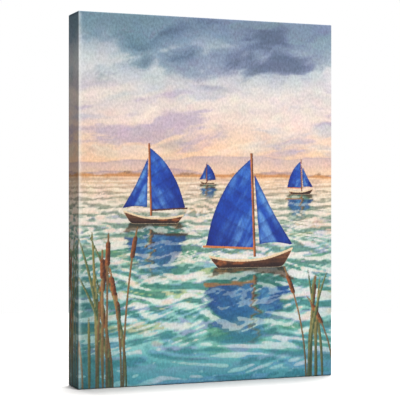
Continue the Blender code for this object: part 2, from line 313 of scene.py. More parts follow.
def lake(x, y):
    """The water and its pale crests. Water is a wash from peach to teal, with tinted patches and deep
    troughs. A crest's depth is the height above a level over the slope, which is nearly a distance."""
    w = maximum(y - HORIZON, 0.01) / (PICTURE_HIGH - HORIZON)
    near = ease(0.0, 0.08, w)
    c = wash(
        w + 0.05 * cloudy(x / 40, y / 18, 3, 3),
        (0.00, 244, 206, 168),
        (0.09, 238, 208, 180),
        (0.18, 208, 204, 186),
        (0.32, 178, 208, 190),
        (0.50, 176, 218, 204),
        (0.72, 170, 226, 216),
        (0.88, 106, 180, 186),
        (1.00, 72, 148, 164),
    )
    mid = wash(w, (0, 214, 194, 176), (0.3, 150, 194, 174), (0.6, 126, 192, 180), (1, 62, 140, 156))
    deep = wash(
        w,
        (0.0, 204, 164, 140),
        (0.2, 118, 142, 126),
        (0.5, 58, 130, 118),
        (0.8, 50, 126, 130),
        (1.0, 48, 124, 142),
    )
    pale = wash(
        w,
        (0.0, 252, 228, 200),
        (0.3, 248, 236, 226),
        (0.6, 242, 242, 234),
        (0.8, 214, 232, 224),
        (1.0, 130, 190, 198),
    )
    step = 0.4
    height = ripple_height(x, y, 0, 20)
    other = ripple_height(x + 60, y, 12, 30)
    slope_x = (ripple_height(x + step, y, 0, 20) - height) / step
    slope_y = (ripple_height(x, y + step, 0, 20) - height) / step
    slope = hypot(slope_x, slope_y) + 0.02
    c = over(c, mid, 0.55 * ease(0.3, -0.3, height) * near)
    # colour, strength, where it is strong, and between which shares of the way down
    for tint, amount, strong, top, bottom in (
        ((158, 154, 204), 0.60, ease(0.4, 0.9, other), 0.1, 1.0),
        ((104, 150, 200), 0.45, ease(0.5, 1.0, -other), 0.2, 1.2),
        ((214, 212, 132), 0.60, ease(0.5, 0.9, noise(x / 30, y / 9, 2) + 0.4 * other), 0.12, 0.9),
        ((84, 150, 92), 0.50, ease(0.45, 0.9, noise(x / 42 + 4, y / 12, 3) - 0.3 * other), 0.1, 0.95),
        ((236, 184, 150), 0.55, ease(0.2, 0.7, noise(x / 34 + 3, y / 6, 0)), 0.02, 0.5),
    ):
        c = over(c, tint, amount * strong * between(w, top, top + 0.15, bottom - 0.2, bottom))
    trough = (-height - 0.62) / slope
    c = over(c, deep, 0.70 * ease(-0.4, 0.5 + 2 * ease(0.6, 0.9, w), trough) * near)
    c = over(c, 0.75 * deep, 0.35 * bell(trough, 0.5, 0.7) * near)

    # The crests stand over a level, and in places a thin rim runs along another level.
    patch = 0.5 * cloudy(x / 60 + 2, y / 22, 6, 3) + 0.2 * ease(0.5, 0.2, w)
    patch = patch + 0.2 * bell(w, 0.58, 0.2) - 0.6 * ease(0.7, 0.95, w)
    rim = 0.55 - abs(height + 0.05 - 0.6 * patch) / slope
    missing = ease(0.1, -0.1, cloudy(x / 45, y / 25 + 9, 2, 3)) + ease(0.35, 0.2, w) + ease(0.3, 0.5, slope)
    crest = maximum((height - 0.34 + 0.9 * patch) / slope, rim - 3 * missing)
    lilac = ease(0.0, 0.5, cloudy(x / 26 + 5, y / 8, 4, 3)) * ease(0.1, 0.3, w)
    peach = ease(0.05, 0.45, cloudy(x / 17 + 1, y / 7, 6, 3)) * ease(1.0, 0.6, w)
    shade = ease(0.25, 0.6, w) * (ease(64, 0, x) + 0.5 * ease(270, 320, x))
    pale = over(pale, (222, 212, 230), 0.5 * lilac)
    pale = over(pale, (250, 208, 186), 0.6 * peach)
    pale = over(pale, mid, 0.38 * ease(1.5, 0.2, crest))
    pale = over(pale, (74, 134, 134), 0.50 * shade)
    return over(c, (24, 76, 80), 0.55 * shade), pale, crest - 1.2 * shade


def outline(*corners):
    """A closed outline through corners of across and up: a cubic between two corners that also leans on
    the one before and the one beyond. A third number makes a corner sharp."""
    p = array([corner[:2] for corner in corners], float)
    sharp = array([len(corner) > 2 for corner in corners])[:, None, None]
    t = linspace(0, 1, 6, endpoint=False)[None, :, None]
    here, after = p[:, None], np.roll(p, -1, 0)[:, None]
    before = where(sharp, here, np.roll(p, 1, 0)[:, None])
    beyond = where(np.roll(sharp, -1, 0), after, np.roll(p, -2, 0)[:, None])
    bend = 2 * here + (after - before) * t + (2 * before - 5 * here + 4 * after - beyond) * t**2
    return ((bend + (3 * here - before - 3 * after + beyond) * t**3) / 2).reshape(-1, 2)


def depth_inside(x, y, closed):
    """Distance to the nearest edge of a closed outline, negative outside it by the count of edges crossed."""
    nearest = np.full(x.shape, 1e9)
    within = np.zeros(x.shape, bool)
    for (ax, ay), (bx, by) in zip(closed, np.roll(closed, -1, 0)):
        ex, ey = bx - ax, by - ay
        t = clip(((x - ax) * ex + (y - ay) * ey) / (ex * ex + ey * ey), 0, 1)
        nearest = minimum(nearest, hypot(x - ax - t * ex, y - ay - t * ey))
        within ^= ((ay > y) != (by > y)) & (x < ax + ex * (y - ay) / (ey if ey else 1))
    return where(within, nearest, -nearest)


# A sailing boat in its own lengths: across from its middle to the bow, and up from the water.
MAST, MAST_FOOT, MAST_TOP = 0.075, 0.1, 1.28
BOOM_UP, BOOM_END, BOOM_HEEL = 0.205, -0.56, 0.08
FORESAIL_LUFF, PANEL, STRAKE = 0.10, 0.17, 0.045
hull_line = outline(
    (-0.50, 0.135, 1), (-0.2, 0.085), (0.2, 0.10), (0.56, 0.21, 1),
    (0.44, 0.02), (0.36, -0.012, 1), (-0.38, -0.012, 1),
)
mainsail_line = outline(
    (MAST, 0.202, 1), (-0.20, 0.214), (-0.52, 0.232, 1), (-0.40, 0.62), (-0.19, 0.98), (0.07, 1.22, 1)
)
foresail_line = outline(
    (FORESAIL_LUFF, 1.05, 1), (0.33, 0.60), (0.56, 0.235, 1), (0.34, 0.27), (0.14, 0.25, 1)
)
# across, waterline, length, lean, which way the bow points
boats = (
    (150.0, 185.0, 19, 0.03, -1),
    (264.0, 196.0, 31, -0.02, 1),
    (88.0, 228.0, 68, 0.03, -1),
    (200.0, 278.0, 100, -0.035, 1),
)


def boat_paint(x, y, boat):
    """The paints of the sails and of the wood, and the depth of a pale hull behind the wood, worked out in
    the boat's own lengths. The dark hull is the pale one moved down, which leaves a gunwale above it."""
    across, waterline, length, lean, way = boat
    v = (waterline - y) / length
    u = way * (x - across) / length - lean * v
    stain = cloudy(x / 11, y / 14, 5)
    sail = np.zeros(x.shape + (3,)), np.full(x.shape, OUTSIDE)
    # outline, its edge on the mast, and which way the cloth lies from there
    for line, luff, away in ((mainsail_line, MAST, -1), (foresail_line, FORESAIL_LUFF, 1)):
        depth = length * depth_inside(u, v, line)
        chord = away * (u - luff) / 0.55
        belly = bell(chord, 0.34 - 0.12 * v, 0.26)
        strokes = cloudy(11 * u + 6 * away * v + 3, 2.6 * v + luff, 2, 3)
        across_panel = (0.86 * v - 0.51 * away * u) / PANEL % 1
        dark = 0.30 + 0.45 * chord + 0.40 * (0.60 - v) + 0.30 * stain
        c = wash(dark, (0, 38, 98, 196), (0.5, 24, 66, 168), (1, 10, 34, 120))
        c = over(c, (112, 166, 224), clip(0.55 * belly + 0.95 * strokes * (0.3 + belly), 0, 0.8))
        c = over(c, (12, 32, 108), 0.30 * ease(0.5, 1.0, across_panel))
        c = over(c, (14, 30, 92), 0.5 * bell(depth, 0.5, 0.9))
        sail = in_front((c, depth), sail)

    pale_hull = length * depth_inside(u, v, hull_line)
    hull = minimum(pale_hull, length * depth_inside(u, v + 0.022 + 0.3 / length, hull_line))
    strakes = (0.5 + 0.5 * cos(2 * pi * (v - 0.04 * u * u) / STRAKE)) * ease(0.02, 0.08, v)
    glints = ease(0.12, 0.5, cloudy(9 * u + 2, 26 * v, 3, 3)) * ease(-0.01, 0.03, v)
    wood = over((118, 70, 46), (46, 30, 30), clip(0.55 + 5 * (0.09 - v) + 0.4 * stain, 0, 1))
    wood = over(wood, (186, 122, 76), 0.35 * strakes)
    wood = over(wood, (208, 118, 62), 0.6 * glints)

    spar = 0.5 + 0.010 * length
    off_mast = abs(u - MAST) + 8 * maximum(v - MAST_TOP, 0) + 8 * maximum(MAST_FOOT - v, 0)
    off_boom = abs(v - BOOM_UP + 0.05 * u) + 8 * maximum(u - BOOM_HEEL, 0) + 8 * maximum(BOOM_END - u, 0)
    spars = maximum(spar - length * off_mast, 0.8 * spar - length * off_boom)
    shaded = way * (length * (u - MAST) / spar) + 0.5 * noise(x / 3, y / 9, 1)
    timber = over((206, 122, 68), (84, 48, 38), ease(-0.9, 0.9, shaded))
    return sail, in_front((timber, spars), (wood, hull)), pale_hull + 0.15


def reflection(c, taken, x, y, boat):
    """The boat turned over at its waterline, with a dark green mass round it, shaken sideways and up by
    the ripples, and more so, softer and fainter further down."""
    across, waterline, length, lean, way = boat
    near = (abs(x - across) < 0.9 * length) & (y > waterline) & (y < waterline + 1.3 * length)
    if not near.any():
        return c, taken
    x, y = x[near], y[near]
    down = y - waterline
    shake = ripple_height(x, y, 4, 24) * (0.5 + 0.07 * down)
    heave = ripple_height(x + 30, y, 8, 28) * (0.3 + 0.05 * down)
    beside = abs(x - across + 0.6 * shake + 4 * noise(x / 9, y / 4, 2)) / length
    gloom = ease(0.62, 0.30, beside) * ease(1.15, 0.25, down / length)
    (sail, sail_depth), (wood, wood_depth), _ = boat_paint(x + shake, waterline - 1.12 * down + heave, boat)
    soft = 0.5 + 0.03 * down
    fading = 1 - ease(0.3, 1.15, down / length)
    sail_share = 0.72 * fading * ease(-1, 1, sail_depth / soft)
    wood_share = 0.85 * fading * ease(-1, 1, (wood_depth + 0.7) / soft)
    c, taken = c.copy(), taken.copy()
    dyed = over(c[near], (30, 92, 82), 0.62 * gloom)
    dyed = over(dyed, 0.8 * sail + (6, 22, 26), sail_share)
    c[near] = over(dyed, 0.8 * wood + (0, 14, 12), wood_share)
    taken[near] = maximum.reduce([taken[near], sail_share, wood_share, 0.45 * gloom])
    return c, taken


# Two clumps of reeds: foot across, height, sway of the tip, whether it carries a brown head, tint.
reed_random = np.random.default_rng(5)
reeds = []
for clump, count, spread, tallest in ((34, 15, 17, 190), (286, 9, 11, 130)):
    for _ in range(count):
        foot = clump + spread * reed_random.normal()
        tall = tallest * (0.45 + 0.6 * reed_random.random())
        sway = 22 * reed_random.normal()
        headed = reed_random.random() > 0.55
        reeds.append((foot, tall, sway, headed, reed_random.random()))


def reed_paint(x, y):
    """The paint of the reeds: lines that lean by the 2.2th power of their height, and round-ended heads."""
    colour = np.zeros(x.shape + (3,))
    depth = np.full(x.shape, OUTSIDE)
    for foot, tall, sway, headed, tint in reeds:
        s = clip((PICTURE_HIGH + 8 - y) / tall, 0, 1.2)
        off = x - foot - sway * s**2.2
        if headed:
            top = PICTURE_HIGH + 18 - tall
            half = 10 + 5 * tint
            head = 2.7 - hypot(off, maximum(abs(y - top - half) - half + 2.6, 0))
            stem = minimum(1.1 - abs(off), 40 * (1 - s))
            stalk = over(over((176, 130, 78), (116, 92, 62), tint), (84, 62, 48), 0.60 * ease(-0.9, 1.1, off))
            far_side = clip(0.42 + off / 4 + 0.35 * noise(x / 2, y / 2, 3), 0, 1)
            c, here = in_front((over((162, 94, 52), (58, 36, 32), far_side), head), (stalk, stem))
        else:
            half = 2.5 * np.sqrt(clip(s, 0, 1)) * clip(1 - s, 0, 1) ** 0.6 + 0.5
            here = minimum(half - abs(off), 40 * (1 - s))
            c = over(over((132, 120, 66), (60, 92, 66), tint), (196, 172, 108), 0.55 * ease(0.2, -1.0, off))
            c = over(c, (44, 62, 50), 0.50 * ease(0.2, 1.6, off))
        c = over(c, (50, 70, 58), 0.55 * ease(110 - 60 * tint, 0, PICTURE_HIGH - y))
        colour = where(((here > depth) | (here > -0.3))[..., None], c, colour)
        depth = maximum(depth, here)
    return colour, depth


def picture(x, y):
    """The layers of the picture: a ground wash, the depth of the boats' pale trim, and the paints of the
    crests, sails, wood and reeds."""
    ground = far_shore(dusk_sky(x, y), x, y)
    water, crest, crest_depth = lake(x, y)
    below = y - HORIZON
    ground = over(ground, water, ease(-0.7, 0.7, below - 0.5 * noise(x / 8, 0 * x, 2)))
    mirror = ease(15, 0, below + 3 * noise(x / 12, y / 2, 1)) * (below > 0.5)
    ground = over(ground, (176, 146, 130), 0.5 * mirror * ease(-0.4, 0.4, noise(x / 20, y / 1.7, 6)))
    taken = np.zeros(x.shape)
    for boat in boats:
        ground, taken = reflection(ground, taken, x, y, boat)
    crest = over(crest, ground, 0.15 + 0.75 * taken)
    crest_depth = where(below > 3, crest_depth - 0.8 * taken, -9)
    blotch = (1 + 0.035 * cloudy(x / 26, y / 22, 7))[..., None]
    blotch = blotch + 0.022 * abreast(*(cloudy(x / 13 + 7 * i, y / 10, i + 1, 3) for i in range(3)))
    sails = woods = np.zeros(ground.shape), np.full(x.shape, OUTSIDE)
    trim_depth = sails[1]
    for boat in boats:
        sail, wood, trim = boat_paint(x, y, boat)
        sails, woods, trim_depth = in_front(sail, sails), in_front(wood, woods), maximum(trim, trim_depth)
    return ground * blotch, trim_depth, (crest * blotch, crest_depth), sails, woods, reed_paint(x, y)


# The cloth is one sheet of primed cotton canvas. Its front is flat, its edges turn over the bars, its
# flaps lie on the back, and at each corner the spare cloth is tucked under the top and bottom sides.
# Staples pull the flaps down on the bars: along each flap, and one slanted across each corner.
CLOTH, LAYER = 0.0004, 0.00045
FRONT_ROUND, BACK_ROUND = 0.0008, 0.0007
FLAP = 0.024
PITCH, FOLD_START = 0.00155, 0.0003
DENT, DENT_WIDE = 0.00035, 0.0042
BULGE, BULGE_WIDE = 0.00012, 0.01
STAPLE_LINE, CORNER_STAPLE = 0.014, 0.019
LEVEL_REACH, UPRIGHT_REACH = 0.112, 0.157
HAND_SLIP, HAND_TURN = 0.0008, 0.09
DEPTH = canvas_high.y - canvas_low.y
half_size = array([WIDTH / 2, HEIGHT / 2 - LAYER])
flap_plane = DEPTH - LAYER

# across, up, and the turn of the crown, with the small errors of a hand-held gun
hand_random = np.random.default_rng(3)
level_row = linspace(-LEVEL_REACH, LEVEL_REACH, 8)
upright_row = linspace(-UPRIGHT_REACH, UPRIGHT_REACH, 10)
staples = []
for side in (-1, 1):
    staples.append(abreast(level_row, side * (HEIGHT / 2 - STAPLE_LINE), 0))
    staples.append(abreast(side * (WIDTH / 2 - STAPLE_LINE), upright_row, pi / 2))
staples = concatenate(staples)
staples[:, :2] += HAND_SLIP * hand_random.normal(size=(len(staples), 2))
staples[:, 2] += HAND_TURN * hand_random.normal(size=len(staples))
x, z = array([-1, -1, 1, 1]), array([-1, 1, -1, 1])
slanted = abreast(x * (WIDTH / 2 - CORNER_STAPLE), z * (HEIGHT / 2 - CORNER_STAPLE), -x * z * pi / 4)
staples = concatenate([staples, slanted])


def grid_lines(half):
    """Grid lines across the front face, even but for one close to each end, where a fold begins."""
    end = half - FRONT_ROUND
    count = int(round(2 * (end - FOLD_START) / PITCH))
    return concatenate([[-end], linspace(FOLD_START - end, end - FOLD_START, count + 1), [end]])


columns, rows = (grid_lines(half) for half in half_size)
grid_x, grid_z = np.meshgrid(columns, rows)

# Walking round the face from its lower left corner: a place on its edge and the way outwards there.
walk = []
for side, run in enumerate((
    (columns, rows[0], 0, -1),
    (columns[-1], rows, 1, 0),
    (columns[::-1], rows[-1], 0, 1),
    (columns[0], rows[::-1], -1, 0),
)):
    straight = abreast(*run)
    bend = radians(-90 + 90 * side + array([22.5, 45, 67.5]))
    walk += [straight, abreast(*straight[-1, :2], cos(bend), sin(bend))]
walk = concatenate(walk)
place, outward = walk[:, :2], walk[:, 2:]
on_long_side = abs(outward[:, 1]) > 0.99
count = len(walk)


def ring(inset, depth, past, outside=True):
    """One ring of the sheet, and the same points on the flat cloth, where past is the way walked beyond
    the front edge. Tucked layers lift the top and bottom sides inside a triangle from each corner, and
    on the back each staple presses a bell-shaped dent and the loose cloth between them bulges a little."""
    flat = place + outward * past
    at = place * (half_size - max(inset, FRONT_ROUND)) / (half_size - FRONT_ROUND)
    at = at + outward * max(FRONT_ROUND - inset, 0)
    push = np.zeros(count)
    if outside and past > FRONT_ROUND:
        from_corner = half_size[0] - abs(place[:, 0]) - FRONT_ROUND
        in_fold = ease(0.0, FOLD_START, from_corner) * ease(0.003, -0.003, from_corner - past)
        push = LAYER * on_long_side * in_fold
        if inset > 0:
            away = hypot(at[:, :1] - staples[:, 0], at[:, 1:] - staples[:, 1])
            loose = noise(at[:, 0] / BULGE_WIDE, at[:, 1] / BULGE_WIDE, 5) * ease(0.003, 0.012, inset)
            push = push - DENT * np.max(bell(away, 0, DENT_WIDE), 1) + BULGE * loose
    if inset > 0:
        depth = depth + push
    else:
        at = at + outward * push[:, None]
    return abreast(at[:, 0], canvas_low.y + depth, at[:, 1] + HEIGHT / 2), flat


def skin(index):
    """Four-sided faces between neighbouring rings of point numbers, each ring closed on itself."""
    after = np.roll(index, -1, 1)
    return np.stack([index[:-1], index[1:], after[1:], after[:-1]], -1).reshape(-1, 4)


rings = []
for a in radians([0, 22.5, 45, 67.5, 90]):
    rings.append(ring(FRONT_ROUND * (1 - sin(a)), FRONT_ROUND * (1 - cos(a)), FRONT_ROUND * (a - 1)))
for depth in linspace(FRONT_ROUND, flap_plane - BACK_ROUND, 24)[1:]:
    rings.append(ring(0, depth, depth))
for a in radians([45, 90]):
    inset, depth = BACK_ROUND * (1 - cos(a)), flap_plane - BACK_ROUND * (1 - sin(a))
    rings.append(ring(inset + 1e-9, depth, flap_plane + BACK_ROUND * (a - 1)))
for inset in linspace(BACK_ROUND, FLAP, 12)[1:]:
    rings.append(ring(inset, flap_plane, flap_plane + inset))
outer_rings = len(rings)
rings += [
    ring(FLAP, flap_plane - CLOTH, flap_plane + FLAP, False),
    ring(BACK_ROUND, flap_plane - CLOTH, flap_plane + BACK_ROUND, False),
    ring(CLOTH, flap_plane - BACK_ROUND, flap_plane - BACK_ROUND, False),
    ring(CLOTH, FRONT_ROUND, FRONT_ROUND, False),
    ring(FRONT_ROUND, CLOTH, -FRONT_ROUND, False),
]

front = abreast(grid_x, canvas_low.y, grid_z + HEIGHT / 2).reshape(-1, 3)
points = concatenate([front] + [r[0] for r in rings])
cloth = concatenate([abreast(grid_x, grid_z).reshape(-1, 2)] + [r[1] for r in rings])
outer = np.arange(len(points)) < grid_x.size + outer_rings * count
index = np.arange(grid_x.size).reshape(grid_x.shape)
face_quads = np.stack([index[:-1, :-1], index[:-1, 1:], index[1:, 1:], index[1:, :-1]], -1).reshape(-1, 4)
ring_index = grid_x.size + np.arange(len(rings) * count).reshape(len(rings), count)
inner_quads = np.repeat(np.arange(len(rings) - 1) >= outer_rings, count)

# Points that lie on each other become one, and a four-sided face that loses a corner becomes a triangle.
spots = np.round(points * 1e8).astype(np.int64)
_, first, same = np.unique(spots, axis=0, return_index=True, return_inverse=True)
same = same.reshape(-1)
points, cloth, outer = points[first], cloth[first], outer[first]
quads = same[concatenate([face_quads, skin(ring_index)])]
raw_side = concatenate([np.zeros(len(face_quads), int), inner_quads])
doubled = np.stack([quads[:, i] == quads[:, (i + 1) % 4] for i in range(4)])
whole = ~doubled.any(0)
faces = quads[whole].tolist()
face_finish = raw_side[whole].tolist()
for i in range(4):
    three_left = doubled[i] & (doubled.sum(0) == 1)
    faces += np.delete(quads[three_left], i, 1).tolist()
    face_finish += raw_side[three_left].tolist()
faces.append(same[ring_index[-1]][::-1].tolist())
face_finish.append(1)
cloth_mesh = bpy.data.meshes.new("wrapped_canvas")
cloth_mesh.from_pydata(points.tolist(), [], faces)
cloth_mesh.polygons.foreach_set("material_index", face_finish)
cloth_mesh.shade_smooth()
cloth_mesh.set_sharp_from_angle(angle=radians(38))

# The print runs on round the sides as in a mirror and ends just behind the back edge, where the white
# primer is left bare. Along the front edges it carries a painted highlight, strongest on the left, laid
# on as ink rubbed thin towards bare primer. Painted shade darkens thin lines along the bottom edge, the
# back edge and the top of each side.
PRINT_END = 1000 * DEPTH + 3.9
BACK_EDGE = 37.4
PRIMER, RAW_COTTON, EDGE_HIGHLIGHT_PRIMER = (230.0, 227, 221), (206, 192, 164), (252, 252, 248)
INK = 0.80
flat_x = 1000 * (cloth[:, 0] + WIDTH / 2)
flat_y = 1000 * (HEIGHT / 2 - cloth[:, 1])
past_sides = maximum(-flat_x, flat_x - PICTURE_WIDE)
past_edge = maximum(past_sides, maximum(-flat_y, flat_y - PICTURE_HIGH))
mirror_x = PICTURE_WIDE - abs(PICTURE_WIDE - abs(flat_x))
mirror_y = PICTURE_HIGH - abs(PICTURE_HIGH - abs(flat_y))
ink_left = where(outer, PRINT_END - past_edge - 0.4 * noise(flat_x / 5, flat_y / 5, 2), -9.0)
# Painted highlight: a pale band just inside the front edges, strongest on the left, shown as rubbed ink.
rubbed_highlight = where(past_edge > -flat_x, 0.06, 0.50) * (0.85 + 0.15 * noise(flat_x / 3, flat_y / 3, 1))
rubbed_highlight = rubbed_highlight * bell(past_edge, -0.6, 2.6) * ease(0.4, -0.5, past_edge)
# Painted shade: thin dark lines under the bottom edge, along the back edge and at the top of each side.
shade_under_bottom_edge = 0.5 * bell(flat_y - PICTURE_HIGH, 0.2, 1.4)
shade_at_back_edge = 0.42 * bell(past_edge, BACK_EDGE, 2.4)
shade_at_side_tops = 0.35 * bell(flat_y, 0.4, 1.8) * ease(0, 1, past_sides)
painted_edge_shade = maximum.reduce([shade_under_bottom_edge, shade_at_back_edge, shade_at_side_tops])


def edge_shade_and_highlight(colour):
    """Ink with painted edge shade, and a painted front-edge highlight shown as ink rubbed to bare primer."""
    return over(colour * (1 - painted_edge_shade[:, None]), EDGE_HIGHLIGHT_PRIMER, rubbed_highlight)


def linear(colour):
    """Colours from 0 to 255, as a screen shows them, as linear light."""
    c = clip(colour / 255, 0, 1)
    return where(c < 0.04045, c / 12.92, ((c + 0.055) / 1.055) ** 2.4)


ground, trim_depth, *paints = picture(mirror_x, mirror_y)
bare = where(outer[:, None], PRIMER, RAW_COTTON)
layers = [(over(bare, edge_shade_and_highlight(ground), ease(-0.5, 0.5, ink_left)), trim_depth)]
layers += [(edge_shade_and_highlight(colour), depth) for colour, depth in paints]
for name, (colour, depth) in zip(("ground", "crest", "sail", "wood", "reed"), layers):
    depth = clip(minimum(depth, ink_left), -9, 9)
    layer = cloth_mesh.attributes.new(name, "FLOAT_COLOR", "POINT")
    layer.data.foreach_set("color", np.column_stack([INK * linear(colour), depth]).ravel())
layer = cloth_mesh.attributes.new("cloth", "FLOAT_VECTOR", "POINT")
layer.data.foreach_set("vector", np.column_stack([cloth, np.zeros(len(cloth))]).ravel())


def noise_of(vector, scale, detail=3.0, rough=0.6, kind="Fac"):
    """Noise around a half."""
    sockets = {"Vector": vector, "Scale": scale, "Detail": detail, "Roughness": rough}
    return joined("TexNoise", sockets).outputs[kind]


def maths(operation, *values):
    """One to three values put together by a maths operation."""
    return joined("Math", dict(enumerate(values)), operation=operation).outputs[0]


def times_plus(vector, factors, added):
    """A vector times factors, plus another vector."""
    return joined("VectorMath", {0: vector, 1: factors, 2: added}, operation="MULTIPLY_ADD").outputs[0]


def dress(shader, colour, height, distance, strength, roughness=None):
    """Joins a colour, a relief of a height, and a roughness where it varies, to a material's shader."""
    relief = joined("Bump", {"Height": height, "Distance": distance, "Strength": strength}).outputs[0]
    for name, output in (("Base Color", colour), ("Normal", relief), ("Roughness", roughness)):
        if output is not None:
            shader.id_data.links.new(output, shader.inputs[name])


THREAD = 0.00055
TRIM = (0.66, 0.50, 0.32, 1)


def plain_weave(vector):
    """Height of a plain weave: the product of two sine waves, shaken by noise as uneven threads are."""
    shaken = times_plus(noise_of(vector, 160.0, 2.0, 0.5, "Color"), (0.0004,) * 3, vector)
    across, up, _ = joined("SeparateXYZ", {0: shaken}).outputs
    return maths("MULTIPLY", *(maths("SINE", maths("MULTIPLY", part, pi / THREAD)) for part in (across, up)))


# The ink: each layer of paint ends in an edge as crisp as a brush leaves it, and all are grained.
print_finish, tree, shader = finish_of("printed_canvas", 0.7, specular=0.3)
on_cloth = add_node(tree, "Attribute", attribute_name="cloth").outputs["Vector"]
ground_layer = add_node(tree, "Attribute", attribute_name="ground").outputs
brush = range_of(noise_of(on_cloth, 700.0), 0.3, 0.7, -0.3, 0.3)
colour = ground_layer["Color"]
for name in ("crest", "sail", "trim", "wood", "reed"):
    if name == "trim":
        paint, depth = TRIM, ground_layer["Alpha"]
    else:
        layer = add_node(tree, "Attribute", attribute_name=name).outputs
        paint, depth = layer["Color"], layer["Alpha"]
    edge = range_of(maths("ADD", depth, brush), -0.3, 0.3, kind="SMOOTHSTEP")
    colour = mixed(edge, colour, paint)
dabs = joined("Mapping", {"Vector": on_cloth, "Rotation": (0, 0, 0.28), "Scale": (1.3, 0.8, 1)}).outputs[0]
paper = range_of(noise_of(dabs, 350.0, 1.5, 0.5), 0.32, 0.68, 0.88, 1.105)
pigment = range_of(noise_of(dabs, 900.0, 3.0, 0.7), 0.3, 0.7, 0.93, 1.07)
bright = joined("RGBToBW", {0: colour}).outputs[0]
grain = maths("SUBTRACT", maths("MULTIPLY", paper, pigment), 1.0)
grain = maths("MULTIPLY_ADD", grain, range_of(bright, 0.05, 0.7, 1.5, 0.75), 1.0)
colour = mixed(1.0, colour, grain, "MULTIPLY")
threads = plain_weave(on_cloth)
dress(shader, colour, threads, 0.00008, 0.5, range_of(threads, -1, 1, 0.76, 0.64))

# The back of the cloth: unbleached cotton, with slubs in its threads and specks of seed husk.
COTTON, SLUB = (0.66, 0.59, 0.46, 1), (0.80, 0.74, 0.62, 1)
BETWEEN_THREADS, HUSK = (0.52, 0.44, 0.32, 1), (0.26, 0.18, 0.10, 1)
raw_finish, tree, shader = finish_of("raw_canvas_back", 0.9, specular=0.2)
on_cloth = add_node(tree, "Attribute", attribute_name="cloth").outputs["Vector"]
threads = plain_weave(on_cloth)
slubs = [
    noise_of(joined("Mapping", {"Vector": on_cloth, "Scale": scale}).outputs[0], 60.0, 2.0)
    for scale in ((1, 22, 1), (22, 1, 1))
]
slub = range_of(maths("ADD", *slubs), 0.8, 1.25)
seed_husk = range_of(noise_of(on_cloth, 800.0, 1.0), 0.74, 0.78)
colour = mixed(slub, COTTON, SLUB)
colour = mixed(range_of(threads, -1, 0.2, 0.5, 0.0), colour, BETWEEN_THREADS)
colour = mixed(seed_husk, colour, HUSK)
dress(shader, colour, threads, 0.00012, 0.8)

canvas = add_piece(cloth_mesh, print_finish, raw_finish)
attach(canvas, "picture")
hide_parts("canvas")


# The stretcher bars are planed pine, glued up end to end from short clear lengths by fine finger
# joints. Their shapes are the CAD's, and each length has its own cut through the growth rings.
PINE_EARLY, PINE_LATE = (0.76, 0.58, 0.36, 1), (0.62, 0.41, 0.20, 1)
PINE_RING, PINE_STOCK = 0.0027, 0.17
FINGER, FINGER_PITCH = 0.009, 0.006
GLUE_LINE, GLUE_FADED = 0.0003, 0.0007
PITH_ASIDE, PITH_BEHIND = 0.035, (0.01, 0.07)
WANDER, FIBRES_A_METRE = 0.012, 800.0


def sawn_wood(name, along, middle, seed, early, late, ring, stock):
    """Wood cut from a log whose pith lies beside the piece: the distance from the pith, shaken by noise,
    counted in rings, each pale and then slowly darker. Stock is the length from one finger joint to the
    next, and each length takes its own pith and tint."""
    made, tree, shader = finish_of(name, 0.62, specular=0.35)

    def vector(x, y=0.0):
        """Two values as a vector."""
        return joined("CombineXYZ", {0: x, 1: y}).outputs[0]

    x, y, z = joined("SeparateXYZ", {0: add_node(tree, "TexCoord").outputs["Object"]}).outputs
    length, across = (x, z) if along == "x" else (z, x)
    zigzag = maths("MULTIPLY", maths("PINGPONG", across, FINGER_PITCH / 2), 2 * FINGER / FINGER_PITCH)
    counted = maths("MULTIPLY_ADD", maths("ADD", length, zigzag), 1 / stock, seed)
    number = maths("FLOOR", counted)
    chance = joined("TexWhiteNoise", {"W": number}, noise_dimensions="1D").outputs["Color"]
    tint, side, behind = joined("SeparateXYZ", {0: chance}).outputs
    lengthwise = maths("MULTIPLY_ADD", number, 3.7, length)
    from_side = maths("SUBTRACT", across, range_of(side, 0, 1, middle - PITH_ASIDE, middle + PITH_ASIDE))
    from_pith = vector(from_side, maths("ADD", y, range_of(behind, 0, 1, *PITH_BEHIND)))
    wander = noise_of(vector(maths("MULTIPLY", lengthwise, 6.0)), 1.0, 2.0, 0.5, "Color")
    wander = times_plus(wander, (WANDER, WANDER, 0), from_pith)
    radius = joined("VectorMath", {0: wander}, operation="LENGTH").outputs["Value"]
    fine = times_plus(from_pith, (FIBRES_A_METRE,) * 3, vector(maths("MULTIPLY", lengthwise, 14.0)))
    fibre = noise_of(fine, 1.0, 3.0, 0.6)
    years = noise_of(vector(maths("DIVIDE", radius, 3.5 * ring), seed), 1.0, 1.0)
    counted_rings = maths("MULTIPLY_ADD", years, 3.0, maths("DIVIDE", radius, ring))
    rings = maths("FRACT", maths("MULTIPLY_ADD", fibre, 0.22, counted_rings))
    darkening = range_of(rings, 0.30, 0.90, kind="SMOOTHSTEP")
    dark = maths("MULTIPLY", darkening, range_of(rings, 0.93, 1.0, 1, 0, "SMOOTHSTEP"))
    shade = maths("MULTIPLY", range_of(fibre, 0.3, 0.7, 0.92, 1.07), range_of(tint, 0, 1, 0.88, 1.06))
    from_joint = maths("ABSOLUTE", maths("SUBTRACT", maths("FRACT", maths("ADD", counted, 0.5)), 0.5))
    glue = range_of(from_joint, GLUE_LINE / stock, GLUE_FADED / stock, 0.72, 1.0)
    colour = mixed(1.0, mixed(dark, early, late), maths("MULTIPLY", shade, glue), "MULTIPLY")
    dress(shader, colour, fibre, 0.00008, 0.6, range_of(dark, 0, 1, 0.68, 0.52))
    return made


def middle_of(node, along):
    """The middle of a node across its length."""
    low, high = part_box(node)
    return (low.z + high.z) / 2 if along == "x" else (low.x + high.x) / 2


for seed, (side, along) in enumerate((("top", "x"), ("right", "z"), ("bottom", "x"), ("left", "z"))):
    node = f"stretcher_bar_{side}"
    cut = (along, middle_of(node, along), 0.37 + 10 * seed)
    finish = sawn_wood(f"pine_{side}", *cut, PINE_EARLY, PINE_LATE, PINE_RING, PINE_STOCK)
    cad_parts[node].material_slots[0].material = finish


